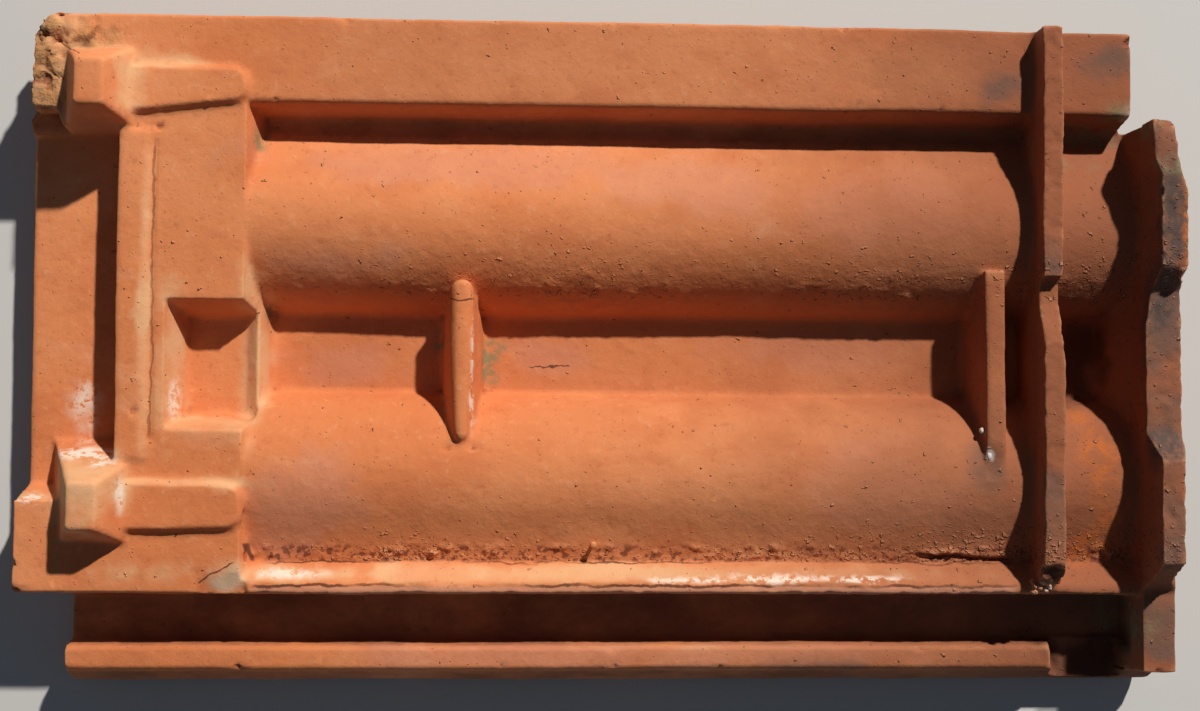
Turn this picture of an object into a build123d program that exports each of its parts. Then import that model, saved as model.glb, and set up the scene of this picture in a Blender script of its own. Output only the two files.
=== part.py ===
from build123d import *
from math import cos, radians, sin, tan
import os

# Interlocking double-trough clay roof tile, pressed and fired in one piece.
# It lies weather side down: X runs from head to foot, Y towards the underlap
# flange and Z up through the clay to the roof side. The origin is below the
# middle of the tile, level with the ridge tops that it lies on.
# Levels are measured from the seat plane, the flat that rests on the battens.

# Body: two rolls on the roof side are the two troughs on the weather side
length = 422.0
wall = 11.5
roll_spacing = 94.0
roll_radius = 33.0
valley_flank = 72.0
valley_flank_drop = 2.7
groove_radius = 3.0
ridge_radius = 6.0
edge_radius = 1.2

# Underlap flange, along the +Y side, with two water ribs on the weather side
flange_groove_depth = 16.5
flange_groove_slope = 32.0
flange_groove_floor = 4.0
flange_wall_run = 3.5
flange_width = 31.5
flange_plate = 9.5
flange_short = 14.5
lock_rib_height = 10.5
lock_rib_width = 4.0
lock_rib_gap = 5.0
lock_rib_draft = 1.0
lock_root_radius = 0.8
rail_channel = 10.5

# Overlap, along the -Y side, with the channel that covers the next tile's ribs
ledge_groove_depth = 9.8
ledge_groove_slope = 24.0
ledge_slope_run = 8.2
ledge_width = 3.4
channel_depth = 25.5
channel_wall_run = 2.0
channel_floor = 16.4
rail_height = 11.5
rail_run = 2.3
rail_width = 7.9
overlap_bulge = 6.0
overlap_bulge_share = 0.56
overlap_tuck = 2.0
overlap_short = 16.0

# Head plate, and the margin that is raised on the weather side
head_plate = 80.0
end_wall_run = 0.31
margin_length = 35.0
margin_depth = 17.2
margin_high_side = 80.0
margin_low_side = 55.0
margin_low_run = 5.6
margin_run = 1.2
head_draft = 8.0
upstand_wall = 11.0
upstand_groove_place = 13.0
upstand_groove_width = 9.0
upstand_groove_depth = 3.5

# Bead along the step of the margin, flat first and then sloping to the plate
bead_height = 1.5
bead_flat = 8.5
bead_slope = 5.3
bead_high_short = 1.3
bead_low_short = 15.3

# Pocket in the head plate, over a low sill to the valley
pocket_length = 28.0
pocket_width = 47.0
pocket_offset = 5.6
pocket_depth = 17.6
pocket_draft = 6.0
sill_depth = 13.0
sill_run = 5.0

# Nibs that hook over the batten, broader on every side towards the plate
nib_height = 16.4
nib_length = 10.3
nib_width = 16.5
nib_set_back = 7.9
nib_head_run = 6.0
nib_foot_run = 8.0
nib_flange_run = 7.3
nib_overlap_run = 5.5
nib_radius = 1.5
high_nib_inset = 3.3
low_nib_outset = 1.3

# Pads that bear on the batten, tongues that narrow towards their rounded ends
pad_height = 3.0
pad_width = 16.5
pad_length = 45.0
high_pad_tip = 10.5
high_pad_lean = 2.6
low_pad_tip = 14.0
pad_draft = 32.0

# Lug across the valley
lug_place = 263.0
lug_thickness = 7.5
lug_length = 62.5
lug_offset = 3.5
lug_draft = 4.5

# Foot: rim at the edge, then the rib and the bulkhead across the valley
rim_thickness = 12.0
rim_height = 19.0
rim_centre_height = 10.0
rim_overlap_height = 2.0
rim_step = 32.6
rim_step_run = 9.0
rim_ramp_inner = 28.0
rim_ramp_outer = 38.0
rim_shoulder = 75.0
rim_corner_length = 20.0
rim_corner_cut = 5.5
rim_trim = 4.0
rim_slope_depth = 7.0
rim_slope_run = 8.4
rib_gap = 31.8
rib_thickness = 7.6
rib_height = 11.0
notch_start = 28.6
notch_floor = 20.0
notch_end = 5.0
notch_depth = 5.5
bulkhead_gap = 11.4
bulkhead_thickness = 7.3
bulkhead_height = 1.5
bulkhead_length = 81.0
bulkhead_offset = 7.5
bulkhead_draft = 2.0

# Stations along the tile
head = -length / 2
foot = length / 2
margin_end = head + margin_length
nib_station = margin_end - nib_set_back
upstand_end = margin_end + upstand_wall
plate_end = head + head_plate
body_start = plate_end - 2
rim_start = foot - rim_thickness
rib_start = rim_start - rib_gap - rib_thickness
bulkhead_middle = rib_start - bulkhead_gap - bulkhead_thickness / 2
flange_end = foot - flange_short


def roll_drop(angle, radius):
    """How far the arc of a roll has fallen at an angle from its crest."""
    return radius * (1 - cos(radians(angle)))


def groove_station(slope, depth):
    """Distance from the valley to the foot of the straight flank of a roll."""
    flank = (depth - roll_drop(slope, roll_radius)) / tan(radians(slope))
    return crest + roll_radius * sin(radians(slope)) + flank


# Levels and stations across the tile, each from the one before it
crest = roll_spacing / 2
valley_depth = roll_drop(valley_flank, roll_radius) + valley_flank_drop
seat = valley_depth + wall
flange_groove = groove_station(flange_groove_slope, flange_groove_depth)
flange_foot = flange_groove + flange_groove_floor
flange_inner = flange_foot + flange_wall_run
flange_edge = flange_inner + flange_width
ledge_groove = -groove_station(ledge_groove_slope, ledge_groove_depth)
ledge_top = ledge_groove - ledge_slope_run
ledge_edge = ledge_top - ledge_width
channel_inner = ledge_edge - channel_wall_run
channel_outer = channel_inner - channel_floor
rail_inner = channel_outer - rail_run
rail_outer = rail_inner - rail_width
overlap_edge = rail_outer - overlap_bulge
rail_top = rail_height - channel_depth
outer_wall = seat + rail_top
high_nib_side = flange_inner + high_nib_inset
low_nib_side = -margin_low_side - low_nib_outset


def on_roll(side, angle, radius):
    """Point on the arc of a roll, at an angle from its crest, positive outwards."""
    station = crest + radius * sin(radians(angle))
    return side * station, radius * cos(radians(angle)) - roll_radius


def down_flank(point, slope, depth, side):
    """Point where the straight flank that leaves an arc reaches a depth."""
    drop = depth + point[1]
    return point[0] + side * drop / tan(radians(slope)), -depth


def across(x):
    """Plane across the tile at x, with its origin on the seat plane."""
    return Plane(origin=(x, 0, seat), x_dir=(0, 1, 0), z_dir=(1, 0, 0))


def level(depth):
    """Horizontal plane at a depth below the seat plane."""
    return Plane.XY.offset(seat - depth)


def roof_side():
    """Grooves, rolls and valley of the roof side, from the flange to the ledge."""
    flange_flank = on_roll(1, flange_groove_slope, roll_radius)
    high_flank = on_roll(1, -valley_flank, roll_radius)
    low_flank = on_roll(-1, -valley_flank, roll_radius)
    ledge_flank = on_roll(-1, ledge_groove_slope, roll_radius)
    FilletPolyline(
        (flange_edge, 0),
        (flange_inner, 0),
        (flange_foot, -flange_groove_depth),
        (flange_groove, -flange_groove_depth),
        flange_flank,
        radius=[edge_radius, groove_radius / 2, groove_radius],
    )
    ThreePointArc(flange_flank, (crest, 0), high_flank)
    FilletPolyline(
        high_flank,
        down_flank(high_flank, valley_flank, valley_depth, -1),
        down_flank(low_flank, valley_flank, valley_depth, 1),
        low_flank,
        radius=groove_radius / 2,
    )
    ThreePointArc(low_flank, (-crest, 0), ledge_flank)
    FilletPolyline(
        ledge_flank,
        (ledge_groove, -ledge_groove_depth),
        (ledge_top, 0),
        (ledge_edge, 0),
        radius=[edge_radius, groove_radius],
    )


def weather_side():
    """Overlap, ridges, troughs and water ribs, from the ledge back to the flange."""
    trough_radius = roll_radius - wall
    ledge_flank = on_roll(-1, ledge_groove_slope, trough_radius)
    low_flank = on_roll(-1, -valley_flank, trough_radius)
    high_flank = on_roll(1, -valley_flank, trough_radius)
    flange_flank = on_roll(1, flange_groove_slope, trough_radius)
    rib_face = flange_edge - 2 * lock_rib_width - lock_rib_gap
    rib_top = -flange_plate - lock_rib_height
    gutter = -flange_plate - lock_rib_draft
    FilletPolyline(
        (ledge_edge, 0),
        (channel_inner, -channel_depth),
        (channel_outer, -channel_depth),
        (rail_inner, rail_top),
        (rail_outer, rail_top),
        (overlap_edge, rail_top - overlap_bulge_share * outer_wall),
        (overlap_edge + overlap_tuck, -seat),
        (ledge_groove, -seat),
        (ledge_groove + 0.75 * wall, 1.5 * wall - seat),
        ledge_flank,
        radius=[
            groove_radius,
            groove_radius,
            edge_radius,
            edge_radius,
            outer_wall / 3,
            outer_wall / 3,
            ridge_radius,
            groove_radius,
        ],
    )
    ThreePointArc(ledge_flank, (-crest, -wall), low_flank)
    FilletPolyline(
        low_flank,
        down_flank(low_flank, valley_flank, seat, 1),
        down_flank(high_flank, valley_flank, seat, -1),
        high_flank,
        radius=ridge_radius,
    )
    ThreePointArc(high_flank, (crest, -wall), flange_flank)
    FilletPolyline(
        flange_flank,
        down_flank(flange_flank, flange_groove_slope, flange_groove_depth + wall, 1),
        (flange_inner, -flange_groove_depth - wall),
        (rib_face - rail_channel, -flange_plate),
        (rib_face - lock_rib_draft, -flange_plate),
        (rib_face, rib_top),
        (rib_face + lock_rib_width, rib_top),
        (rib_face + lock_rib_width + lock_rib_draft, gutter),
        (flange_edge - lock_rib_width - lock_rib_draft, gutter),
        (flange_edge - lock_rib_width, rib_top),
        (flange_edge, rib_top),
        (flange_edge, 0),
        radius=[
            ridge_radius,
            ridge_radius,
            edge_radius,
            lock_root_radius,
            edge_radius,
            edge_radius,
            lock_root_radius,
            lock_root_radius,
            edge_radius,
            edge_radius,
        ],
    )


with BuildSketch() as open_section:
    with BuildLine():
        roof_side()
        weather_side()
    make_face()

# The same section with the roof side filled up to the seat plane
with BuildSketch() as filled_section:
    with BuildLine():
        Line((flange_edge, 0), (ledge_edge, 0))
        weather_side()
    make_face()


def strip(low, high):
    """The part of the filled section between two stations across the tile."""
    with BuildSketch() as part_section:
        add(filled_section.sketch)
        with Locations(((low + high) / 2, 0)):
            Rectangle(high - low, 4 * seat, mode=Mode.INTERSECT)
    return part_section.sketch


# Slice of filled section between two sloping faces: on the roof side the end
# wall of the grooves and the valley, on the weather side the ends of the ridges
with BuildPart() as end_wall:
    with BuildSketch(across(plate_end - 3 * wall)):
        add(filled_section.sketch)
    extrude(amount=6 * wall)
    roof_face = Plane(
        origin=(plate_end, 0, seat),
        x_dir=(0, 1, 0),
        z_dir=(1, 0, end_wall_run),
    )
    split(bisect_by=roof_face, keep=Keep.BOTTOM)
    split(bisect_by=roof_face.offset(-wall), keep=Keep.TOP)

# Hollow of the margin, open at the head, with a ramp on the side of the overlap
with BuildPart() as margin:
    with BuildSketch(level(0)):
        with Locations((margin_end, -margin_low_side)):
            Rectangle(
                2 * margin_length,
                margin_high_side + margin_low_side,
                align=(Align.MAX, Align.MIN),
            )
    with BuildSketch(level(margin_depth)):
        with Locations((margin_end - margin_run, margin_low_run - margin_low_side)):
            Rectangle(
                2 * margin_length,
                margin_high_side + margin_low_side - margin_low_run - margin_run,
                align=(Align.MAX, Align.MIN),
            )
    loft()

# Head plate with the margin, which stands up as a broad bar on the weather side
with BuildPart() as head_part:
    with BuildSketch(level(0)):
        with Locations((head, ledge_edge)):
            Rectangle(head_plate - wall, flange_inner - ledge_edge, align=(Align.MIN, Align.MIN))
    extrude(amount=-wall)
    with BuildSketch(level(wall)):
        with Locations((head, -margin_low_side - wall / 2)):
            Rectangle(
                upstand_end - head,
                flange_inner + margin_low_side + wall / 2,
                align=(Align.MIN, Align.MIN),
            )
    extrude(amount=-margin_depth, taper=head_draft)
    add(margin, mode=Mode.SUBTRACT)
    with BuildSketch(level(margin_depth + wall)):
        with Locations((head + upstand_groove_place, 0)):
            Rectangle(upstand_groove_width, length)
    extrude(amount=upstand_groove_depth, taper=head_draft, mode=Mode.SUBTRACT)

# Bead along the step of the margin
with BuildPart() as bead:
    bead_end = Plane(
        origin=(margin_end, margin_high_side - bead_high_short, seat),
        x_dir=(1, 0, 0),
        z_dir=(0, -1, 0),
    )
    with BuildSketch(bead_end):
        with BuildLine():
            Polyline(
                (0, -wall / 2),
                (0, bead_height),
                (bead_flat, bead_height),
                (bead_flat + bead_slope, 0),
                (bead_flat + bead_slope, -wall / 2),
                close=True,
            )
        make_face()
    extrude(amount=margin_high_side + margin_low_side - bead_high_short - bead_low_short)

# Block behind the pocket, on the weather side
with BuildPart() as pocket_block:
    with BuildSketch(level(wall / 2)):
        with Locations((plate_end, -pocket_offset)):
            Rectangle(
                pocket_length + wall,
                pocket_width + 2 * wall,
                align=(Align.MAX, Align.CENTER),
            )
    extrude(amount=-pocket_depth - wall / 2, taper=head_draft)


def pocket_outline(depth, end):
    """Level section of the pocket, from its sloping head side to an end."""
    inset = pocket_draft * depth / pocket_depth
    start = plate_end - pocket_length + inset
    with BuildSketch(level(depth)) as outline:
        with Locations((start, -pocket_offset)):
            Rectangle(end - start, pocket_width - 2 * inset, align=(Align.MIN, Align.CENTER))
    return outline.sketch


# Hollow of the pocket, open to the valley above the sill and sloping down inside it
sill = plate_end + end_wall_run * sill_depth
with BuildPart() as pocket:
    loft(sections=[pocket_outline(0, plate_end), pocket_outline(sill_depth, sill)])
    loft(sections=[pocket_outline(sill_depth, sill), pocket_outline(pocket_depth, sill - sill_run)])


def nib_outline(side, depth):
    """Level section of a nib that stands at a station across the tile."""
    share = 1 + depth / nib_height
    start = -nib_length / 2 - nib_head_run * share
    end = nib_length / 2 + nib_foot_run * share
    low = -nib_width / 2 - nib_overlap_run * share
    high = nib_width / 2 + nib_flange_run * share
    with BuildSketch(level(depth)) as outline:
        with Locations((nib_station + start, side + low)):
            Rectangle(end - start, high - low, align=(Align.MIN, Align.MIN))
    return outline.sketch


# Nibs, one beside the flange and one in the corner of the margin
with BuildPart() as high_nib:
    loft(sections=[nib_outline(high_nib_side, 0), nib_outline(high_nib_side, -nib_height)])
    fillet(high_nib.edges() - high_nib.faces().sort_by(Axis.Z)[0].edges(), nib_radius)

with BuildPart() as low_nib:
    loft(sections=[nib_outline(low_nib_side, 0), nib_outline(low_nib_side, -nib_height)])
    fillet(low_nib.edges() - low_nib.faces().sort_by(Axis.Z)[0].edges(), nib_radius)

# The low nib goes on down to the floor of the margin
with BuildPart() as nib_root:
    loft(sections=[nib_outline(low_nib_side, margin_depth), nib_outline(low_nib_side, 0)])
    with BuildSketch(level(0)):
        with Locations((head, -margin_low_side - wall / 4)):
            Rectangle(margin_length + wall / 2, length, align=(Align.MIN, Align.MIN))
    extrude(amount=-margin_depth, mode=Mode.INTERSECT)

with BuildPart() as pads:
    with BuildSketch(level(-pad_height)) as pad_outline:
        for side, tip, lean in (
            (high_nib_side, high_pad_tip, high_pad_lean),
            (low_nib_side, low_pad_tip, 0),
        ):
            with BuildLine(Plane(origin=(margin_end, side, 0))):
                Polyline(
                    (0, -pad_width / 2),
                    (0, pad_width / 2),
                    (pad_length, lean + tip / 2),
                    (pad_length, lean - tip / 2),
                    close=True,
                )
            make_face()
        fillet(pad_outline.vertices().group_by(Axis.X)[-1], 0.45 * high_pad_tip)
    extrude(amount=-pad_height, taper=-pad_draft)

# Lug across the valley, drafted on all sides
with BuildPart() as lug:
    with BuildSketch(level(0)):
        with Locations((foot - lug_place, -lug_offset)):
            SlotOverall(lug_length, lug_thickness, rotation=90)
    with BuildSketch(level(valley_depth + wall / 4)):
        with Locations((foot - lug_place, 0)):
            SlotOverall(lug_length / 2, lug_thickness + 2 * lug_draft, rotation=90)
    loft()
    fillet(lug.faces().sort_by(Axis.Z)[-1].edges(), lug_thickness / 4)

# Bulkhead across the valley
with BuildPart() as bulkhead:
    with BuildSketch(level(-bulkhead_height)):
        with Locations((bulkhead_middle, -bulkhead_offset)):
            Rectangle(bulkhead_thickness, bulkhead_length)
    with BuildSketch(level(valley_depth + wall / 4)):
        with Locations((bulkhead_middle, 0)):
            Rectangle(bulkhead_thickness + 2 * bulkhead_draft, 0.4 * bulkhead_length)
    loft()
    fillet(bulkhead.faces().sort_by(Axis.Z)[-1].edges(), edge_radius)

# Rib across the foot, filling the section up to its own notched top
with BuildPart() as rib:
    with BuildSketch(across(rib_start)):
        with BuildLine():
            Polyline(
                (flange_edge, -flange_plate / 2),
                (flange_edge, rib_height),
                (notch_start, rib_height),
                (notch_start - edge_radius, rib_height - notch_depth),
                (notch_floor, rib_height - notch_depth),
                (notch_end, rib_height),
                (ledge_top, rib_height),
                (ledge_top, -wall / 2),
                close=True,
            )
        make_face()
        add(strip(ledge_top, flange_edge))
    extrude(amount=rib_thickness)

# Rim along the foot, high over the rolls and low over the valley and the overlap
with BuildPart() as rim:
    with BuildSketch(across(rim_start)):
        with BuildLine():
            Polyline(
                (flange_inner - rim_trim, -wall / 2),
                (flange_inner - rim_trim, rim_height),
                (rim_step, rim_height),
                (rim_step - rim_step_run, rim_centre_height),
                (-rim_ramp_inner, rim_centre_height),
                (-rim_ramp_outer, rim_height),
                (-rim_shoulder, rim_height),
                (ledge_top - overlap_tuck, rim_overlap_height),
                (rail_outer, rim_overlap_height),
                (rail_outer - overlap_tuck, -channel_depth - wall / 4),
                (channel_inner, -channel_depth - wall / 4),
                (channel_inner, -wall / 2),
                close=True,
            )
        make_face()
        add(strip(overlap_edge, flange_inner - rim_trim))
    extrude(amount=rim_thickness)

# Slope at the foot of the rim, down to the floor of the valley
with BuildPart() as rim_slope:
    slope_side = Plane(origin=(rim_start, crest / 2, seat), x_dir=(1, 0, 0), z_dir=(0, -1, 0))
    with BuildSketch(slope_side):
        with BuildLine():
            Polyline(
                (rim_thickness / 2, -rim_slope_depth),
                (0, -rim_slope_depth),
                (-rim_slope_run, -valley_depth),
                (-rim_slope_run, -valley_depth - wall / 2),
                (rim_thickness / 2, -valley_depth - wall / 2),
                close=True,
            )
        make_face()
    extrude(amount=crest)

# The flange stops short of the foot, and the corner of the rim is cut back
with BuildPart() as foot_corner:
    with BuildSketch():
        with BuildLine():
            Polyline(
                (foot + 1, flange_edge + 1),
                (flange_end, flange_edge + 1),
                (flange_end, flange_inner - rim_trim),
                (foot - rim_corner_cut, flange_inner - rim_trim),
                (foot - rim_corner_cut / 3, flange_inner - rim_trim - rim_corner_length),
                (foot + 1, flange_inner - rim_trim - 1.4 * rim_corner_length),
                close=True,
            )
        make_face()
    extrude(amount=seat + 2 * rim_height)

with BuildPart() as roof_tile:
    # Body, and the flange and the overlap carried on towards the head
    with BuildSketch(across(body_start)):
        add(open_section.sketch)
    extrude(amount=foot - body_start)
    add(end_wall)
    with BuildSketch(across(head)):
        add(strip(flange_foot, flange_edge))
    extrude(amount=body_start - head)
    with BuildSketch(across(head + overlap_short)):
        add(strip(overlap_edge, ledge_groove))
    extrude(amount=body_start - head - overlap_short)
    # Head
    add(head_part)
    add(pocket_block)
    add(pocket, mode=Mode.SUBTRACT)
    add([bead, high_nib, low_nib, nib_root, pads])
    # Valley and foot
    add([lug, bulkhead, rib, rim, rim_slope])
    add(foot_corner, mode=Mode.SUBTRACT)

roof_tile.part.label = "roof_tile"
os.makedirs("parts", exist_ok=True)
export_step(roof_tile.part, "parts/roof_tile.step")
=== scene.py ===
import bpy
import numpy as np
from mathutils import Matrix, Vector


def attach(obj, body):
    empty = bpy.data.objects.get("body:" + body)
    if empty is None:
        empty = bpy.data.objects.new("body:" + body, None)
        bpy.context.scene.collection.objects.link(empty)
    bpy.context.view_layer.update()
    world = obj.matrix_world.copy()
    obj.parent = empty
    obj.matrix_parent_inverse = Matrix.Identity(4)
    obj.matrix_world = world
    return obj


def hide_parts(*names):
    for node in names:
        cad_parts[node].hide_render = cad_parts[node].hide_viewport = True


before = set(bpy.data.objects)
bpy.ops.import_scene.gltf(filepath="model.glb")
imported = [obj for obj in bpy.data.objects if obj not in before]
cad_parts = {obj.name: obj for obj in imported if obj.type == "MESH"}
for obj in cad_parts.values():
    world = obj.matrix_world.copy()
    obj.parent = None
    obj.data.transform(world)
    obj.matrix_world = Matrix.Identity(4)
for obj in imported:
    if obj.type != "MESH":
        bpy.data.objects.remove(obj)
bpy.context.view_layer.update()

# Everything is in metres, in the frame of the record: X from head to foot, Y towards
# the underlap flange, Z up. MM turns millimetres into metres, and heights called w
# are measured from the seat plane, the flat that rests on the battens.
MM = 0.001
SEAT = 37.0
VOXEL = 1.0 * MM
TRIANGLES = 185000

# Stations of the tile in millimetres: the foot of the bead, the stretch of the rolls
# from the head plate to the bulkhead, the middle of the lug, the inner face of the
# rim, the crack along the lip, and the corner where the low roll meets the ledge
BEAD_X = -163.4
ROLL_HEAD_X = -122
ROLL_FOOT_X = 150
LUG_X = -52.3
RIM_X = 197
LIP_Y = -84.8
LEDGE_Y = -76.6


# Noise

def value_noise(points, size, seed):
    """Smooth noise from -1 to 1 at the points, with features about size across."""
    n = 64
    grid = np.random.default_rng(seed).random((n, n, n)) * 2 - 1
    q = points / size + 1000.37
    cell = np.floor(q).astype(int)
    f = q - cell
    f = f * f * (3 - 2 * f)
    out = 0.0
    for corner in range(8):
        step = np.array([corner & 1, corner >> 1 & 1, corner >> 2 & 1])
        weight = np.prod(np.where(step, f, 1 - f), axis=1)
        i, j, k = ((cell + step) % n).T
        out = out + weight * grid[i, j, k]
    return out


def fractal(points, size, seed, octaves=3, gain=0.5):
    """Sum of noises, each half the size of the one before it."""
    total = 0.0
    for octave in range(octaves):
        total = total + gain ** octave * value_noise(points, size / 2 ** octave, seed + octave)
    return total


def ramp(value, low, high):
    """Smooth step from 0 at low to 1 at high."""
    t = np.clip((value - low) / (high - low), 0, 1)
    return t * t * (3 - 2 * t)


def between(value, low, high, soft):
    """1 between two stations, falling to 0 over a soft width outside them."""
    return ramp(value, low - soft, low) * (1 - ramp(value, high, high + soft))


def groove(offset, inner, outer):
    """1 within inner of a line and 0 beyond outer, for an offset from the line."""
    return 1 - ramp(np.abs(offset), inner, outer)


# The fired clay body

def bake(obj):
    """Replaces the object's mesh with the result of its modifiers."""
    evaluated = obj.evaluated_get(bpy.context.evaluated_depsgraph_get())
    mesh = bpy.data.meshes.new_from_object(evaluated)
    obj.modifiers.clear()
    obj.data = mesh


def even_copy(node, name):
    """A new object in the shape of a node, with an even mesh and edges worn round."""
    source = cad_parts[node]
    copy = bpy.data.objects.new(name, source.data.copy())
    bpy.context.scene.collection.objects.link(copy)
    copy.matrix_world = source.matrix_world
    remesh = copy.modifiers.new("even", "REMESH")
    remesh.mode = "VOXEL"
    remesh.voxel_size = VOXEL
    smooth = copy.modifiers.new("round", "SMOOTH")
    smooth.factor = 0.5
    smooth.iterations = 4
    bake(copy)
    return copy


def read(mesh, name):
    """Three numbers for each vertex, such as its co or its normal."""
    values = np.empty(len(mesh.vertices) * 3)
    mesh.vertices.foreach_get(name, values)
    return values.reshape(-1, 3)


def scoop(points, centre, radius, seed, rough):
    """Presses a rough hollow into the surface around a centre that lies outside it."""
    centre = np.array(centre) * MM
    near = np.flatnonzero(np.abs(points - centre).max(axis=1) < 1.6 * radius * MM)
    away = points[near] - centre
    distance = np.linalg.norm(away, axis=1)
    reach = radius * MM * (1 + rough * fractal(points[near], radius * 0.9 * MM, seed))
    inside = distance < reach
    pushed = away[inside] / distance[inside, None] * reach[inside, None]
    points[near[inside]] = centre + pushed


def break_off(points, place, normal, centre, radius, seed, rough):
    """Takes off what stands beyond a rough plane, within a radius of a centre."""
    normal = np.array(normal, float)
    normal = normal / np.linalg.norm(normal)
    near = np.flatnonzero(np.linalg.norm(points - np.array(centre) * MM, axis=1) < radius * MM)
    height = (points[near] - np.array(place) * MM) @ normal
    height = height - rough * MM * fractal(points[near], 6 * MM, seed, 4, 0.6)
    over = height > 0
    points[near[over]] -= height[over, None] * normal


# Forms that the presser's fingers and tools left on the moulded clay. The stations x,
# y and w of every vertex are those of the solid, before anything was moved.

def shape_lug(points, x, y, w):
    """Crowns the lug's top and narrows it towards its low end."""
    on = np.flatnonzero((np.abs(x - LUG_X) < 7) & (y > -36) & (y < 28) & (w > -8))
    off = x[on] - LUG_X
    points[on, 0] -= MM * off * 0.30 * ramp(-y[on], -4, 32) * ramp(w[on], -8, -2)
    points[on, 2] -= MM * 0.075 * off ** 2 * ramp(w[on], -4, 0)


def run_out_bulkhead(points, normals, x, y, w):
    """Lets the low end of the bulkhead run out into the low roll."""
    beside = (normals[:, 2] > 0.3) & (x > 128) & (x < 134) & (y > -58) & (y < -24)
    roll = np.flatnonzero(beside)
    roll = roll[np.argsort(y[roll])]
    on = np.flatnonzero((x > 137) & (x < 155) & (y > -56) & (y < -26) & (w > -12))
    ground = np.interp(y[on], y[roll], points[roll, 2])
    over = np.maximum(0, points[on, 2] - ground)
    points[on, 2] -= over * ramp(-y[on], 31, 44)


def lean_rim(points, x, y, w):
    """Makes the rim thick at its high end, thin over the rolls, and set back below."""
    lean_at = (
        # y, and how far the inner and the outer face lean towards the foot
        (-90, 1.2, -2.5), (-38, 1.2, -2.5), (-32, 0.0, -0.2), (-28, -1.2, 0.0),
        (12, -1.2, 0.0), (18, 0.0, 0.0), (31, 1.8, -0.5), (66, 1.8, -0.5),
        (71, -0.4, -0.5), (86, -1.2, -0.5),
    )
    stations, inner, outer = np.array(lean_at).T
    on = np.flatnonzero((x > 190) & (w > 2) & (np.abs(y) < 92))
    inner = np.interp(y[on], stations, inner)
    outer = np.interp(y[on], stations, outer)
    lean = inner * (1 - ramp(x[on], 200, 208)) + outer * ramp(x[on], 202, 209)
    points[on, 0] += MM * lean * ramp(w[on], 2, 8)


def break_rail(points, x, y, w):
    """Breaks the rail down to a low stump towards the foot."""
    on = np.flatnonzero((x > 166) & (x < 197.5) & (y < -103) & (w > -24))
    ragged = x[on] + value_noise(points[on], 5 * MM, 19)
    stump = -14 - 10.0 * ramp(ragged, 169.0, 172.0)
    stump += 0.5 * fractal(points[on] * [1, 1, 0], 5 * MM, 24, 3, 0.7)
    top = np.where(x[on] > 168, SEAT + stump, np.inf) * MM
    points[on, 2] = np.minimum(points[on, 2], top)


def press_seam(points, x, y, w):
    """Leaves a ragged seam where clay was pressed over the foot of the low roll."""
    off = y + 72.4 + 0.07 * (x - 113) - 0.9 * value_noise(points, 7 * MM, 29)
    seam = between(x, 121, 149, 6) * (w > -24) * (np.abs(off) < 4)
    lifted = 0.9 * groove(off - 0.9, 0.3, 1.3) - 1.1 * groove(off + 0.7, 0.3, 1.2)
    points[:, 2] += MM * seam * lifted


def score_lines(points, x, y, w):
    """Scores the foot of the bead, and the corner of the low roll and the ledge."""
    drift = 0.5 * value_noise(points, 30 * MM, 17)
    line = groove(x - BEAD_X + drift, 0.35, 1.3) * between(y, -32, 74, 3)
    points[:, 2] -= 0.9 * MM * line * ramp(w, -2, -0.5)
    line = groove(y - LEDGE_Y + drift, 0.3, 1.2) * between(x, ROLL_HEAD_X, ROLL_FOOT_X, 3)
    points[:, 2] -= 0.6 * MM * line * ramp(w, -20, -16)


def tear(points, normals, x, y, w):
    """Tears the clay on the sheltered sides of the rolls and on the valley's floor."""
    on = np.flatnonzero((normals[:, 2] > 0.1) & (w < -3) & (w > -30) & (x > -130) & (x < 196))
    here = points[on]
    high_side = ramp(-y[on], -36, -26) * (1 - ramp(-y[on], -18, -14))
    low_side = ramp(-y[on], 69, 71.5) * (1 - ramp(-y[on], 75.5, 76.5))
    valley = 0.5 * (np.abs(y[on]) < 12)
    patches = ramp(value_noise(here, 30 * MM, 33), -0.4, 0.5)
    torn = np.maximum(0, fractal(here * [0.8, 1, 1], 3.4 * MM, 31, 2, 0.9) - 0.30)
    crumb = 0.45 * torn * high_side * (0.25 + patches) + 0.5 * torn * valley * patches ** 2
    beads = np.maximum(0, fractal(here, 2.9 * MM, 35, 2, 0.8) - 0.05)
    crumb += 1.35 * beads * low_side * (0.55 + 0.45 * patches)
    points[on] += normals[on] * crumb[:, None] * MM


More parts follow.
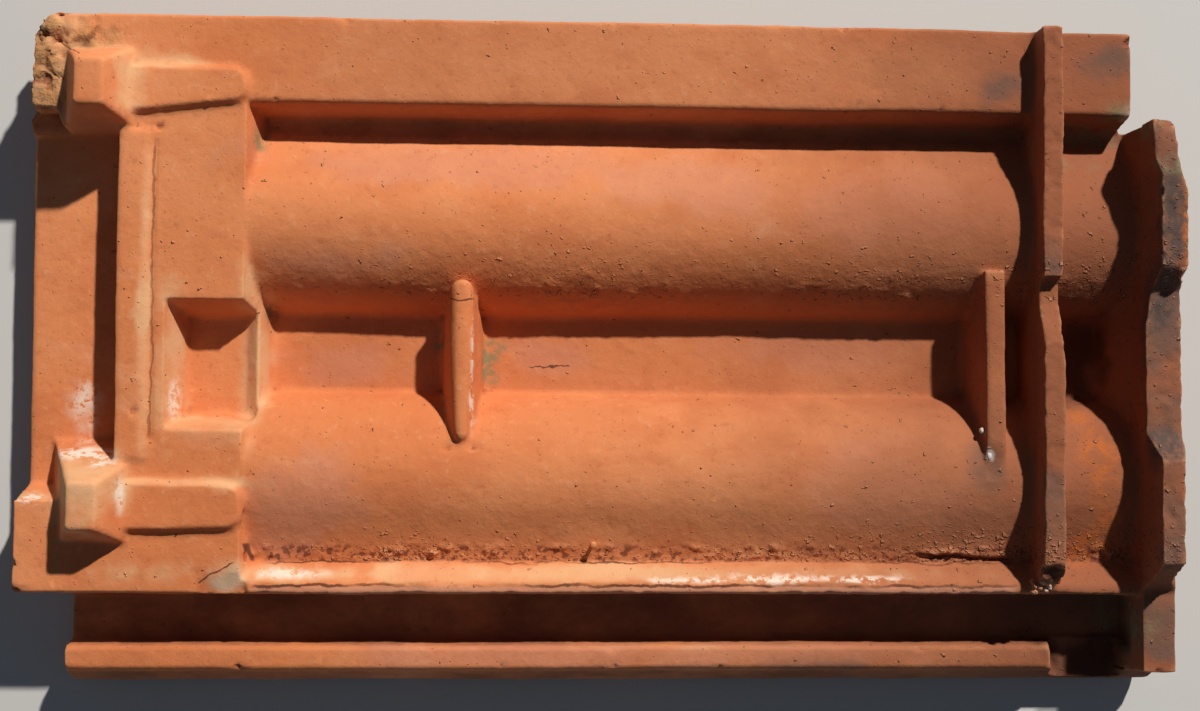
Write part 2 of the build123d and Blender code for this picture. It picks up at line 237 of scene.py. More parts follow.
def fray(points, x, y, w):
    """Makes the edges of the rim, the rib, the bulkhead and the ledge's lip ragged."""
    tops = ramp(x, RIM_X, RIM_X + 3) * ramp(w, 1, 4)
    tops += ramp(x, 157.5, 159.5) * (1 - ramp(x, 167.5, 169)) * ramp(w, 3, 8)
    tops += 0.6 * ramp(x, 141, 142) * (1 - ramp(x, 150, 151)) * ramp(w, 0.5, 1.4)
    on = tops > 0
    points[on, 0] += 0.30 * MM * tops[on] * fractal(points[on], 5 * MM, 41, 3, 0.7)
    worn = np.minimum(0.2, fractal(points[on], 4 * MM, 51, 3, 0.7))
    points[on, 2] += 0.38 * MM * tops[on] * worn

    lip = ramp(-y, 82.5, 84) * (1 - ramp(-y, 88.5, 90)) * ramp(w, -7, -1.5)
    lip *= ramp(x, ROLL_HEAD_X - 6, ROLL_HEAD_X)
    on = lip > 0
    drawn = points[on] * [1, 0.3, 0.3]
    points[on, 1] += 0.7 * MM * lip[on] * np.maximum(-0.2, fractal(drawn, 9 * MM, 61, 4, 0.6))
    points[on, 2] -= 0.45 * MM * lip[on] * np.maximum(0, fractal(drawn, 12 * MM, 71, 3, 0.6))
    flake = ramp(-y, 84.2, 84.8) * (1 - ramp(-y, 88.5, 90))
    flake *= between(x, ROLL_HEAD_X - 2, ROLL_FOOT_X, 4) * ramp(w, -3, -1)
    gone = ramp(value_noise(points * [0.4, 1, 1], 9 * MM, 73), 0.0, 0.25)
    points[:, 2] -= 0.7 * MM * flake * gone


def crevice(points):
    """Thin winding gaps between crumbs of clay, 1 in the middle of a gap."""
    flat = points * [1, 1, 0]
    winding = value_noise(flat, 7.5 * MM, 131) + 0.35 * value_noise(flat, 2.4 * MM, 132)
    return groove(winding, 0.02, 0.13)


def crumble_corner(points, x, y, w):
    """Crumbles the end and the corner of the flange at the head, around the nib."""
    on = np.flatnonzero((x < -194) & (y > 79))
    end = ramp(-x[on], 195.5, 199) * ramp(w[on], -14.2, -12.6)
    points[on, 1] += 7.2 * MM * end * (1 - ramp(y[on], 81, 112))
    on = np.flatnonzero((x < -198) & (points[:, 1] > 85 * MM))
    limit = -207.0 + 0.45 * fractal(points[on], 5 * MM, 80, 3, 0.7)
    points[on, 0] = np.maximum(points[on, 0], limit * MM)
    break_off(points, (-205.0, 116.5, SEAT), (-1, 0.9, 0.15), (-208, 119, SEAT), 12, 81, 0.5)

    corner = ramp(-x, 194, 198) * ramp(y, 88, 91) * ramp(w, -7, -2)
    corner += 0.7 * ramp(-x, 178, 192) * ramp(y, 109, 112) * ramp(w, -3, -1)
    on = corner > 0
    torn = np.maximum(-0.25, fractal(points[on] * [1, 0.8, 1], 4.6 * MM, 83, 3, 0.75))
    points[on, 2] -= MM * corner[on] * (0.35 + 1.4 * torn + 1.3 * crevice(points[on]))

    hollows = (
        # x, y, height over the seat, radius, roughness
        (-202.5, 97.0, 0.6, 2.7, 0.6), (-201.0, 94.0, 0.8, 2.4, 0.6),
        (-206.5, 110.0, 1.6, 2.4, 0.6), (-203.0, 90.5, 1.2, 2.6, 0.5),
        (-203.0, 113.5, 0.5, 1.4, 0.5), (-200.0, 111.5, 0.5, 1.4, 0.5),
        (-197.0, 110.0, 0.5, 1.4, 0.5), (-186.0, 104.8, 0.5, 1.4, 0.5),
        (-183.0, 104.4, 0.5, 1.4, 0.5),
    )
    for seed, (cx, cy, over, radius, rough) in enumerate(hollows, start=84):
        scoop(points, (cx, cy, SEAT + over), radius, seed, rough)


def break_corners(points):
    """Breaks a flake off the lip by the head plate, and the low end off the rib."""
    facet = (0.05, -0.20, 1)
    break_off(points, (-136.5, -84.0, SEAT - 1.0), facet, (-137, -85.5, SEAT), 9.0, 93, 0.3)
    scoop(points, (-129.8, -71.5, SEAT - 4.6), 1.7, 94, 0.4)
    scoop(points, (-129.2, -74.5, SEAT - 5.4), 1.9, 95, 0.4)
    slope = (0, -1, 1.05)
    break_off(points, (163, -76.0, SEAT + 11), slope, (163, -83, SEAT + 7), 12.5, 133, 1.3)


def chip_edges(points):
    """Chips at chosen places, and nicks along the long edges at random."""
    chips = (
        # x, y, height over the seat, radius, seed
        (197, 118, 1, 3.0, 98), (-212.5, -50.5, 1, 3.4, 99), (-213, -64, 1, 2.6, 100),
        (-211.5, -77, 1, 2.6, 101), (-211, -88, 1, 3.0, 102), (211, 30, 15, 4.0, 103),
        (198, -41, 21, 3.0, 104), (212, -70, 20, 3.5, 105), (204, 87, 20, 4.0, 106),
        (212.5, 52, 20, 3.4, 107), (199.4, 60, 20, 2.6, 108), (199.6, 52, 20.2, 2.2, 109),
        (199.2, 44, 20.2, 2.6, 110), (199.6, 36, 20, 2.2, 111), (137, -107.6, -12.9, 2.2, 128),
        (146, -107.4, -12.9, 2.0, 129), (40, -108, -12, 2.0, 112), (120, -109, -12, 2.2, 113),
        (-170, -117, -12, 2.2, 114), (125, 90, 2.5, 3.0, 115), (-50.6, 9.1, 1.4, 1.7, 116),
        (-168.4, -22.9, 2.4, 2.0, 117), (-172, 92, 19, 3.4, 118), (-193, -46, 18, 2.6, 119),
        (-162, 80, 1.7, 2.2, 120), (205, -116, 4, 3.4, 121), (88, 122.5, 1.2, 2.6, 122),
        (-96, 121, 1.6, 2.2, 123),
    )
    for cx, cy, over, radius, seed in chips:
        scoop(points, (cx, cy, SEAT + over), radius, seed, 0.4)

    # y and height of the flange's two edges, the lip, and the rail's two edges
    edges = ((122.8, 1.0), (89.8, 1.5), (-88.6, 1.2), (-108.0, -12.6), (-116.6, -12.6))
    rng = np.random.default_rng(7)
    for seed in range(200, 310):
        along = rng.uniform(-205, 195)
        across, over = edges[rng.integers(5)]
        scoop(points, (along, across, SEAT + over), rng.uniform(1.2, 2.1), seed, 0.5)


def weather(mesh):
    """Hand-pressed unevenness, worn and broken edges, as the photo shows them."""
    points = read(mesh, "co")
    normals = read(mesh, "normal")
    x, y, z = (points / MM).T
    w = z - SEAT

    # Slightly wavy outlines and the lumps of pressed clay
    wave = np.stack([value_noise(points, 45 * MM, seed) for seed in (5, 6, 7)], axis=1)
    lumps = 0.20 * fractal(points, 17 * MM, 11, 2, 0.6) + 0.10 * value_noise(points, 2.6 * MM, 21)
    points += (0.40 * wave * [1, 1, 0.5] + normals * lumps[:, None]) * MM

    shape_lug(points, x, y, w)
    run_out_bulkhead(points, normals, x, y, w)
    lean_rim(points, x, y, w)
    break_rail(points, x, y, w)
    press_seam(points, x, y, w)
    score_lines(points, x, y, w)
    tear(points, normals, x, y, w)
    fray(points, x, y, w)
    crumble_corner(points, x, y, w)
    break_corners(points)
    chip_edges(points)

    # The ridges of the weather side are worn flat where the tile lies on them
    points[:, 2] = np.maximum(points[:, 2], 0)
    mesh.vertices.foreach_set("co", points.ravel())
    mesh.update()


def crumb_mesh(name, centre, axes, seed, rough=0.18):
    """A small rough lump of clay or mortar with three half axes, in millimetres."""
    bpy.ops.mesh.primitive_ico_sphere_add(subdivisions=3, radius=1)
    lump = bpy.context.object
    lump.name = name
    points = read(lump.data, "co")
    points *= (1 + rough * fractal(points + seed, 0.9, seed, 2))[:, None]
    points = points * np.array(axes) * MM + np.array(centre) * MM
    lump.data.vertices.foreach_set("co", points.ravel())
    lump.data.update()
    return lump


def small_lumps():
    """A burr like a nail head, two drops of mortar, and crumbs where the rib is broken."""
    lumps = [
        crumb_mesh("burr", (-3.6, -70.3, SEAT - 6.6), (0.8, 0.8, 3.4), 301),
        crumb_mesh("burr_head", (-3.6, -70.3, SEAT - 3.6), (1.25, 1.15, 0.9), 302),
        crumb_mesh("drop_high", (140.0, -27.5, SEAT - 2.0), (1.0, 1.2, 1.1), 303),
        crumb_mesh("drop_low", (142.4, -36.6, SEAT + 0.0), (0.9, 1.7, 0.6), 304),
    ]
    rng = np.random.default_rng(11)
    for n in range(12):
        centre = (rng.uniform(157.5, 165), rng.uniform(-87, -82.5), SEAT + rng.uniform(0.6, 2.6))
        axes = (rng.uniform(0.7, 1.5), rng.uniform(0.7, 1.4), rng.uniform(1.2, 2.4))
        lumps.append(crumb_mesh(f"crumb_{n}", centre, axes, 305 + n, 0.42))
    return lumps


def triangle_count(mesh):
    return sum(len(polygon.vertices) - 2 for polygon in mesh.polygons)


tile = even_copy("roof_tile", "tile_clay")
weather(tile.data)
faces = triangle_count(tile.data)
thin = tile.modifiers.new("thin", "DECIMATE")
thin.ratio = min(1.0, TRIANGLES / faces)
bake(tile)
pieces = [tile] + small_lumps()
with bpy.context.temp_override(active_object=tile, selected_editable_objects=pieces):
    bpy.ops.object.join()
for polygon in tile.data.polygons:
    polygon.use_smooth = True
print("triangles", faces, "->", triangle_count(tile.data))


# Where the clay is stained, and where shade and highlight are painted on it: centres (x, y, w)
# and half axes of ragged ellipsoids, in mm

STAINS_AND_SHADE = {
    # Pink and mauve bloom of the kiln
    "bloom": [
        (-60, 70, -6, 70, 10, 14), (35, 60, -4, 40, 10, 14), (100, 52, -4, 40, 16, 14),
        (-108, -54, -4, 22, 16, 14), (102, -46, -4, 26, 16, 14), (136, -56, -4, 20, 16, 14),
        (-100, 33, -8, 26, 9, 14), (20, 66, -4, 36, 9, 14), (-95, -4, -25, 30, 9, 8),
        (-20, 0, -25, 14, 7, 8), (80, 4, -25, 40, 8, 8), (-112, -68, -8, 18, 8, 8),
        (176, 105, 0, 8, 10, 8), (-30, -112, -14, 60, 8, 6), (70, -112, -14, 50, 8, 6),
    ],
    # Grey of the kiln's smoke and of handling
    "smoke": [
        (163, 36, 11, 7, 7, 5), (163, -58, 11, 7, 20, 5), (203, 10, 10, 12, 34, 8),
        (205, 64, 19, 12, 30, 8), (203, -34, 15, 12, 10, 8), (205, -66, 19, 12, 26, 8),
        (206, -100, 2, 9, 18, 8), (143, -42, 0, 8, 12, 6), (149, 101, 0, 12, 10, 5),
        (187, 110, 0, 14, 8, 5), (75, -115, -14, 30, 3, 5),
        (-205, 104, -2, 7, 14, 8), (203, 60, 19, 10, 34, 7),
    ],
    # Cream scum, and painted highlight on the slopes, walls and bevels that face the key light
    "cream_and_highlight": [
        (-172, 96, 6, 6, 14, 10), (-186, -52, 12, 16, 22, 20), (-203, 106, 0, 13, 20, 8),
        (-166, 20, 1, 2.6, 60, 3), (-158, -6, -8, 6, 26, 14), (-146, -27, -5, 18, 6, 9),
        (-128, -2, -14, 6, 34, 14), (-130, 22, -6, 5, 18, 12),
        (-20, -80, -3, 150, 4.5, 6), (-160, 104, 1, 26, 3, 4), (-150, -48, 1, 24, 2.5, 4),
        (-208, -52, -4, 6, 4, 6),
        (-190, 108, 1, 16, 6, 4), (60, -108, -12, 200, 1.5, 2),
    ],
    # White salts
    "salt": [
        (34, -82.9, -2, 20, 1.0, 4), (66, -82.3, -2, 22, 1.7, 4), (94, -82.5, -2, 16, 1.3, 4),
        (-156, -18, -9, 1.6, 8, 9), (-187, -38, -6, 9, 2.6, 6), (156, -86, 8, 5, 3, 5),
        (-182, -40, 3, 6, 3.0, 5), (-174.5, -55, 3, 2.6, 7, 4), (-48.2, -5, 0, 0.9, 22, 6),
        (-191, -20, -14, 5, 14, 4), (-110, -80.6, -3, 14, 1.6, 4), (-206, -54, -2, 4, 2, 5),
        (195, 90.5, -3, 2.5, 2.5, 5), (162, -85.5, 2.4, 4.5, 3.4, 3.4),
    ],
    # Drops of mortar
    "mortar": [(140.0, -27.5, -1.6, 1.3, 1.5, 1.8), (142.3, -36.4, 0.5, 1.2, 2.0, 1.2)],
    # Grey-green growth in damp corners
    "growth": [
        (-42, 2, -24, 6, 7, 7), (-43, -5, -23, 4, 7, 6), (-60, 4, -24, 4, 6, 6),
        (-126, 79, -9, 3, 5, 8), (180, 84, -12, 22, 6, 12), (205, 69, 19, 9, 4, 8),
        (174, 74, -5, 14, 4.5, 9), (199, 84, 6, 5, 5, 12),
        (-124, 14, -22, 4, 5, 6), (196, -98, -20, 8, 12, 20), (192, 92, -4, 8, 5, 8),
    ],
    # Iron spots
    "rust": [
        (177, -20.5, -8, 12, 3.6, 6), (211, 50, 17, 2.6, 26, 8), (210, 76, 17, 3, 8, 6),
        (184, -70, -9, 14, 8, 8), (186, -44, -4, 9, 22, 9),
    ],
    # Dark crust on the top of the rim
    "crust": [(205, 49, 19, 8, 21, 7), (203, -32, 15, 7, 6, 7), (204, 15, 10, 4, 6, 4)],
    # Painted shade in the foot pocket, under the flange towards the foot, on the rail's stump and
    # at the broken end of the rib, where these lie in shadow
    "painted_shade": [
        (182, 0, -24, 18, 17, 14), (182, -112, -20, 20, 7, 7), (150, 93, -14, 60, 4, 12),
        (164, -79, 7.5, 5, 4, 4), (187, -113, -21, 28, 12, 9), (173.5, -111, -24, 5, 9, 8),
    ],
    # The torn flake by the head plate
    "stone": [(-137.5, -83.6, -1, 8.5, 4.4, 3)],
    # Crumbled clay of the corner
    "crumbled": [(-205, 106, 0, 11, 18, 8), (-190, 111, 1, 14, 5, 4), (-203, 92, -4, 9, 6, 9)],
}


def stain_and_shade(obj):
    """Stores how strong each stain, painted shade and painted highlight is at each vertex, for
    the material to read.
    """
    points = read(obj.data, "co")
    normals = read(obj.data, "normal")
    x, y, z = (points / MM).T
    w = z - SEAT
    ragged = fractal(points, 14 * MM, 401, 4, 0.62)
    strengths = {}
    for name, places in STAINS_AND_SHADE.items():
        total = np.zeros(len(points))
        for cx, cy, cw, rx, ry, rw in places:
            off = np.stack([x - cx, y - cy, w - cw], axis=1) / [rx, ry, rw]
            inside = ramp(-np.linalg.norm(off, axis=1) - 0.45 * ragged, -1.25, -0.45)
            total = np.maximum(total, inside)
        strengths[name] = total

    # Darker and browner towards the foot, along the flange and in the valley
    foot = ramp(x + 14 * ragged, -70, 195) ** 1.5
    foot = np.maximum(foot, 0.28 * ramp(y, 88, 92) * ramp(x, -160, -60))
    foot += 0.08 * ramp(w, 2, 8) * ramp(x, 150, 165)
    foot += 0.30 * ramp(x, 194, 200) * ramp(y, 36, 44)
    valley = (np.abs(y) < 13) * (w < -18) * ramp(x, -124, -100)
    strengths["foot"] = np.maximum(foot, 0.20 * valley)

    # Grainy clay on the sheltered sides of the rolls, and most of all by the ledge
    patches = 0.35 + 0.65 * ramp(value_noise(points, 30 * MM, 33), -0.6, 0.6)
    grainy = ramp(-y, -46, -26) * (1 - ramp(-y, -23, -19)) * patches
    grainy += ramp(-y, 56, 76) * (1 - ramp(-y, 76, 77)) * patches
    grainy += (0.2 + 0.5 * between(-y, 66, 75, 8)) * ramp(x, 60, 150) + 0.2 * ramp(x, 196, 200)
    strengths["grainy"] = grainy * (w > -31) * ramp(x, ROLL_HEAD_X - 8, ROLL_HEAD_X)
    beaded = ramp(-y, 69.5, 72) * (1 - ramp(-y, 76.3, 77))
    strengths["beaded"] = beaded * between(x, ROLL_HEAD_X, 196, 3) * (w > -31)
    strengths["crevice"] = crevice(points) * strengths["crumbled"]

    # Painted shade in the deep channels and on the outer wall of the overlap, which lie in
    # shadow, and darker on the faces that point down
    channel = ramp(-z, -31, -14) * ramp(-np.abs(y), -130, -84) * (np.abs(y) > 80)
    wall = 0.9 * ramp(-y, 90, 92) * ramp(-w, 15.5, 18)
    strengths["shade_in_depths"] = np.maximum(channel, wall) + 0.25 * (normals[:, 2] < -0.3)

    for name, values in strengths.items():
        layer = obj.data.attributes.new(name, "FLOAT", "POINT")
        layer.data.foreach_set("value", np.clip(values, 0, 1).astype(np.float32))


stain_and_shade(tile)


# Materials: colours of the clay, of what lies on it, and of painted shade and highlight, in
# linear light

TONES = {
    "orange": (0.710, 0.222, 0.078),
    "dusty": (0.790, 0.285, 0.115),
    "deep": (0.640, 0.185, 0.066),
    "light": (0.820, 0.350, 0.170),
    "pale_grain": (0.860, 0.420, 0.230),
    "dark_grain": (0.480, 0.120, 0.044),
    "bloom": (0.640, 0.275, 0.185),
    "cream_and_highlight": (0.820, 0.510, 0.270),
    "foot": (0.300, 0.098, 0.046),
    "smoke": (0.150, 0.088, 0.066),
    "crumbled": (0.500, 0.235, 0.080),
    "crumb_shade": (0.280, 0.120, 0.045),
    "crevice": (0.120, 0.040, 0.020),
    "stone": (0.640, 0.450, 0.300),
    "salt": (0.900, 0.780, 0.660),
    "growth": (0.220, 0.205, 0.105),
    "shade_in_depths": (0.160, 0.068, 0.042),
    "painted_shade": (0.075, 0.026, 0.014),
    "crust": (0.085, 0.062, 0.054),
    "rust": (0.560, 0.140, 0.020),
    "mortar": (0.800, 0.740, 0.680),
    "pore": (0.130, 0.036, 0.018),
    "gap_shade": (0.150, 0.036, 0.022),
    "lip": (0.600, 0.285, 0.190),
    "dark_line": (0.085, 0.026, 0.014),
    "worn_edge": (0.800, 0.400, 0.200),
    "corner_shade": (0.240, 0.058, 0.024),
    "floor": (0.620, 0.610, 0.590),
}


def tone(name):
    return (*TONES[name], 1.0)


class Nodes:
    """Short names for building a node tree."""

    def __init__(self, name):
        self.material = bpy.data.materials.new(name)
        self.material.use_nodes = True
        self.tree = self.material.node_tree
        self.tree.nodes.clear()

    def add(self, kind, **settings):
        node = self.tree.nodes.new(kind)
        for key, value in settings.items():
            setattr(node, key, value)
        return node

    def put(self, socket, value):
        if isinstance(value, bpy.types.NodeSocket):
            self.tree.links.new(value, socket)
        else:
            socket.default_value = value

    def math(self, operation, a, b=0.0):
        node = self.add("ShaderNodeMath", operation=operation)
        self.put(node.inputs[0], a)
        self.put(node.inputs[1], b)
        return node.outputs[0]

    def times(self, *values):
        total = values[0]
        for value in values[1:]:
            total = self.math("MULTIPLY", total, value)
        return total

    def plus(self, *values):
        total = values[0]
        for value in values[1:]:
            total = self.math("ADD", total, value)
        return total

    def step(self, value, low, high, to_low=0.0, to_high=1.0):
        """Smooth step of a value, from to_low at low to to_high at high."""
        node = self.add("ShaderNodeMapRange", interpolation_type="SMOOTHSTEP")
        for number, item in enumerate((value, low, high, to_low, to_high)):
            self.put(node.inputs[number], item)
        return node.outputs["Result"]

    def noise(self, vector, scale, detail, rough):
        node = self.add("ShaderNodeTexNoise")
        self.put(node.inputs["Vector"], vector)
        node.inputs["Scale"].default_value = scale
        node.inputs["Detail"].default_value = detail
        node.inputs["Roughness"].default_value = rough
        return node.outputs["Fac"]

    def mix(self, factor, a, b):
        node = self.add("ShaderNodeMix", data_type="RGBA")
        self.put(node.inputs["Factor"], factor)
        self.put(node.inputs[6], a)
        self.put(node.inputs[7], b)
        return node.outputs[2]

    def scaled(self, vector, *scale):
        node = self.add("ShaderNodeMapping")
        self.put(node.inputs["Vector"], vector)
        node.inputs["Scale"].default_value = scale
        return node.outputs["Vector"]

    def paint(self, colour, name, *factors):
        """Lays a tone over a colour, as strongly as the product of the factors."""
        return self.mix(self.times(*factors), colour, tone(name))

    def strength(self, name):
        """How strong each stain, painted shade and painted highlight is, as stored at the
        vertices.
        """
        return self.add("ShaderNodeAttribute", attribute_name=name).outputs["Fac"]

    def band(self, value, low, high, soft):
        """1 between two stations in millimetres, with soft ends."""
        rise = self.step(value, (low - soft) * MM, low * MM)
        return self.times(rise, self.step(value, high * MM, (high + soft) * MM, 1.0, 0.0))


def crack_and_shade_lines(n, place, middle, top):
    """Cracks in the ledge, the low roll, the valley, the lug and the corners, and a line of
    painted shade along the foot of the bead.
    """
    split = n.add("ShaderNodeSeparateXYZ")
    n.put(split.inputs[0], place)
    x, y, z = split.outputs
    drift = n.times(n.plus(n.noise(place, 95, 4.0, 0.62), -0.5), 4.2 * MM)

    def dark_line(value, station, width, *where):
        """Winding line at a station, which thins out where the last factors are low."""
        off = n.math("ABSOLUTE", n.plus(value, drift, -station * MM))
        return n.times(n.step(off, width * MM, 0.35 * width * MM), *where)

    def aslant(value, other, slope):
        return n.plus(value, n.times(other, slope))

    # The dark line along the foot of the bead is painted shade in its inner corner
    bead = dark_line(x, BEAD_X, 0.60, n.band(y, -30, 72, 3), top)
    seam = dark_line(aslant(y, x, 0.07), -65.2, 0.65, n.band(x, 120, 149, 5))
    lines = (
        dark_line(y, LIP_Y, 0.75, n.band(x, ROLL_HEAD_X - 2, ROLL_FOOT_X, 4),
              n.step(middle, 0.36, 0.52), top),
        dark_line(y, LEDGE_Y - 0.4, 0.42, n.band(x, ROLL_HEAD_X, ROLL_FOOT_X, 4),
              n.step(middle, 0.42, 0.60), n.step(z, 0.024, 0.027)),
        n.times(bead, 0.6),
        dark_line(aslant(x, y, 0.35), -154.3, 1.2, n.band(y, -76, -70.5, 1)),
        n.times(seam, n.step(z, 0.014, 0.017)),
        dark_line(aslant(y, drift, 1.6), -3.6, 0.5,
              n.band(x, -26, -13, 2), n.step(z, 0.016, 0.013)),
        dark_line(y, 19.2, 0.42, n.band(x, -57, -46, 0.5), top),
        dark_line(aslant(y, x, 0.75), -37.5, 0.4,
              n.band(x, -203, -189, 1), n.band(y, 92, 122, 1), top),
        dark_line(aslant(y, x, -0.55), -3.5, 0.5,
              n.band(x, -145, -129, 1), n.band(y, -87, -77, 1), top),
    )
    dark_lines = lines[0]
    for line in lines[1:]:
        dark_lines = n.math("MAXIMUM", dark_lines, line)
    return dark_lines


def clay_material():
    n = Nodes("fired_clay")
    place = n.add("ShaderNodeTexCoord").outputs["Object"]
    split = n.add("ShaderNodeSeparateXYZ")
    n.put(split.inputs[0], place)
    x, y, z = split.outputs
    edge = n.add("ShaderNodeNewGeometry").outputs["Pointiness"]
    top = n.step(z, 0.0325, 0.0345)

    # Fired clay, from orange to a deeper red and a lighter, dusty tone
    broad = n.noise(place, 9, 3.0, 0.55)
    middle = n.noise(n.scaled(place, 0.7, 1.2, 1.0), 34, 4.0, 0.62)
    fine = n.noise(place, 260, 4.0, 0.68)
    grit = n.noise(place, 880, 1.5, 0.5)
    beads = n.noise(place, 400, 2.0, 0.5)
    colour = n.mix(n.step(broad, 0.36, 0.66), tone("orange"), tone("dusty"))
    colour = n.paint(colour, "deep", n.step(middle, 0.46, 0.70, 0.0, 0.65))
    colour = n.paint(colour, "light", n.step(middle, 0.42, 0.26, 0.0, 0.55))
    colour = n.paint(colour, "pale_grain", n.step(fine, 0.55, 0.78, 0.0, 0.40))
    colour = n.paint(colour, "dark_grain", n.step(fine, 0.45, 0.24, 0.0, 0.45))

    # Stains, painted shade and painted highlight, from the lowest to the topmost, broken up by
    # the finer noises
    patchy = n.step(middle, 0.36, 0.60)
    flaky = n.step(n.plus(n.times(fine, 0.75), n.times(middle, 0.25)), 0.44, 0.51)
    for name, *factors in (
        ("bloom", 0.38),
        # Cream scum, with painted highlight where the faces turn to the key light
        ("cream_and_highlight", n.step(middle, 0.30, 0.56, 0.25, 0.70)),
        ("foot", 0.95),
        ("smoke", n.plus(0.3, n.times(patchy, 0.5))),
        ("crumbled", n.step(fine, 0.36, 0.58, 0.2, 0.8)),
    ):
        colour = n.paint(colour, name, n.strength(name), *factors)
    shaded = n.step(middle, 0.50, 0.66, 0.0, 0.6)
    colour = n.paint(colour, "crumb_shade", n.strength("crumbled"), shaded)
    for name, *factors in (
        ("crevice", 0.80),
        ("stone", 0.85),
        ("salt", flaky, 0.85),
        ("growth", n.step(fine, 0.38, 0.54), 0.80),
        # Painted shade in the deep channels, on the overlap's outer wall and on faces that point
        # down
        ("shade_in_depths", n.step(middle, 0.30, 0.66, 0.25, 0.8)),
        # Painted shade where the foot pocket, the rail's stump and the rib's end lie in shadow
        ("painted_shade", 0.85),
        ("crust", n.step(fine, 0.60, 0.48, 0.25, 0.85)),
        ("rust", n.step(fine, 0.40, 0.60, 0.15, 0.7)),
        ("mortar",),
    ):
        colour = n.paint(colour, name, n.strength(name), *factors)

    # Grains that stand out, dense on the sheltered sides of the rolls, pores, and painted shade
    # in the gaps between the beads
    grainy, beaded = n.strength("grainy"), n.strength("beaded")
    crowd = n.plus(n.times(grainy, 0.125), n.times(beaded, 0.035))
    grain = n.step(n.plus(grit, crowd), 0.725, 0.850)
    bead = n.step(n.plus(beads, crowd), 0.700, 0.835)
    pore = n.times(n.step(grit, 0.250, 0.220), n.step(broad, 0.50, 0.62, 0.05, 0.9))
    # Painted shade in the low gaps between the beads by the ledge
    gap_shading = n.times(beaded, n.step(beads, 0.47, 0.36))
    colour = n.paint(colour, "pale_grain", n.math("MAXIMUM", grain, bead), 0.30)
    colour = n.paint(colour, "pore", pore, 0.45)
    colour = n.paint(colour, "gap_shade", gap_shading, 0.75)

    # The flaked lip of the ledge, the cracks and dark lines, edges that are worn, and painted
    # shade in the inner corners
    lip = n.times(n.band(y, -90, -85.4, 0.6), n.band(x, ROLL_HEAD_X - 2, ROLL_FOOT_X, 4))
    colour = n.paint(colour, "lip", lip, n.step(z, 0.026, 0.030), 0.55)
    # Dark cracks, and a line of painted shade along the foot of the bead
    colour = n.paint(colour, "dark_line", crack_and_shade_lines(n, place, middle, top), 0.85)
    colour = n.paint(colour, "worn_edge", n.step(edge, 0.515, 0.575, 0.0, 0.35))
    # Concave places darker: painted shade in the inner corners
    colour = n.paint(colour, "corner_shade", n.step(edge, 0.485, 0.430, 0.0, 0.60))

    roughened = n.plus(0.30, n.times(grainy, 0.20), n.times(n.strength("crumbled"), 1.1))
    relief = n.plus(
        n.times(fine, roughened),
        n.times(grain, 0.50),
        n.times(bead, 1.00),
        n.times(pore, -0.15),
    )
    bump = n.add("ShaderNodeBump")
    bump.inputs["Strength"].default_value = 1.0
    bump.inputs["Distance"].default_value = 1.0 * MM
    n.put(bump.inputs["Height"], relief)

    shader = n.add("ShaderNodeBsdfPrincipled")
    n.put(shader.inputs["Base Color"], colour)
    n.put(shader.inputs["Roughness"], n.step(middle, 0.3, 0.7, 0.78, 0.92))
    shader.inputs["Specular IOR Level"].default_value = 0.25
    n.put(shader.inputs["Normal"], bump.outputs[0])
    n.put(n.add("ShaderNodeOutputMaterial").inputs[0], shader.outputs[0])
    return n.material


tile.data.materials.clear()
tile.data.materials.append(clay_material())
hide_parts("roof_tile")
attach(tile, "root")


# Floor, light and camera

def floor_material():
    n = Nodes("pale_floor")
    shader = n.add("ShaderNodeBsdfPrincipled")
    shader.inputs["Base Color"].default_value = tone("floor")
    shader.inputs["Roughness"].default_value = 0.85
    n.put(n.add("ShaderNodeOutputMaterial").inputs[0], shader.outputs[0])
    return n.material


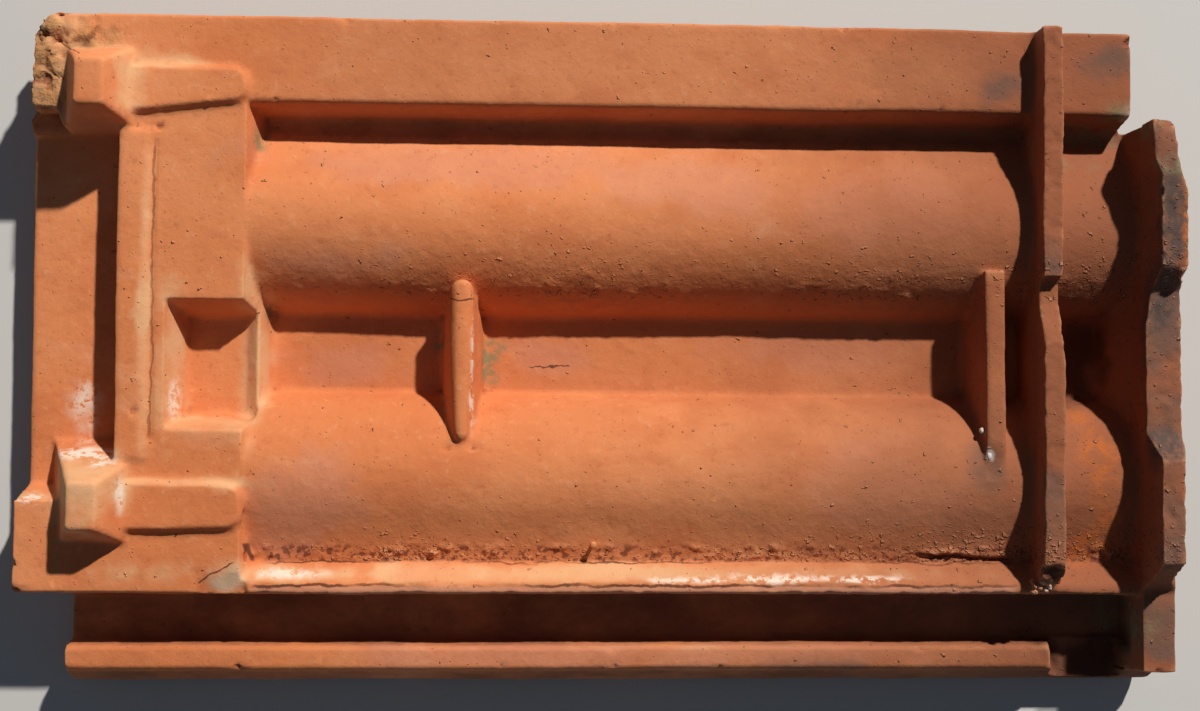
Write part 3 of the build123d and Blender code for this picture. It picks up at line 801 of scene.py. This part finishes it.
def pale_floor(half):
    """A square of floor that reaches half metres to each side of the tile."""
    corners = [(-half, -half, 0), (half, -half, 0), (half, half, 0), (-half, half, 0)]
    mesh = bpy.data.meshes.new("floor")
    mesh.from_pydata(corners, [], [(0, 1, 2, 3)])
    mesh.materials.append(floor_material())
    obj = bpy.data.objects.new("floor", mesh)
    bpy.context.scene.collection.objects.link(obj)
    return obj


floor = pale_floor(6.0)


def area_light(name, direction, distance, size, power, colour):
    """Square light that shines on the tile from a direction."""
    data = bpy.data.lights.new(name, "AREA")
    data.size = size
    data.energy = power
    data.color = colour
    light = bpy.data.objects.new(name, data)
    back = Vector(direction).normalized()
    light.location = back * distance
    light.rotation_mode = "QUATERNION"
    light.rotation_quaternion = (-back).to_track_quat("-Z", "Y")
    bpy.context.scene.collection.objects.link(light)


# The key light comes from beyond the foot and the flange, as the sun does in the photo
area_light(
    "key", (0.573, 1.040, 1.0), distance=5.0, size=0.16, power=305, colour=(1.0, 0.955, 0.89)
)
area_light(
    "fill", (-0.6, -0.8, 1.6), distance=2.6, size=2.4, power=1.4, colour=(0.92, 0.95, 1.0)
)

world = bpy.data.worlds.new("room")
world.use_nodes = True
world.node_tree.nodes["Background"].inputs["Color"].default_value = (0.56, 0.75, 1.0, 1.0)
world.node_tree.nodes["Background"].inputs["Strength"].default_value = 0.075
bpy.context.scene.world = world
bpy.context.scene.view_settings.view_transform = "Standard"

# Camera pose and lens as measured on the photo: turns in radians, place in millimetres,
# focal length and width in the photo's pixels
TURN_X, TURN_Y, TURN_Z = 0.045341, -0.059276, 0.006306
CAMERA_PLACE = (-39.411, -30.281, 636.746 + SEAT)
FOCAL_LENGTH, PHOTO_WIDTH = 1750.0, 1200.0

camera_data = bpy.data.cameras.new("camera")
camera_data.sensor_width = 36.0
camera_data.lens = camera_data.sensor_width * FOCAL_LENGTH / PHOTO_WIDTH
camera = bpy.data.objects.new("camera", camera_data)
turn = Matrix.Rotation(TURN_Z, 4, "Z") @ Matrix.Rotation(TURN_Y, 4, "Y")
turn = turn @ Matrix.Rotation(TURN_X, 4, "X")
camera.matrix_world = Matrix.Translation(Vector(CAMERA_PLACE) * MM) @ turn
bpy.context.scene.collection.objects.link(camera)
bpy.context.scene.camera = camera
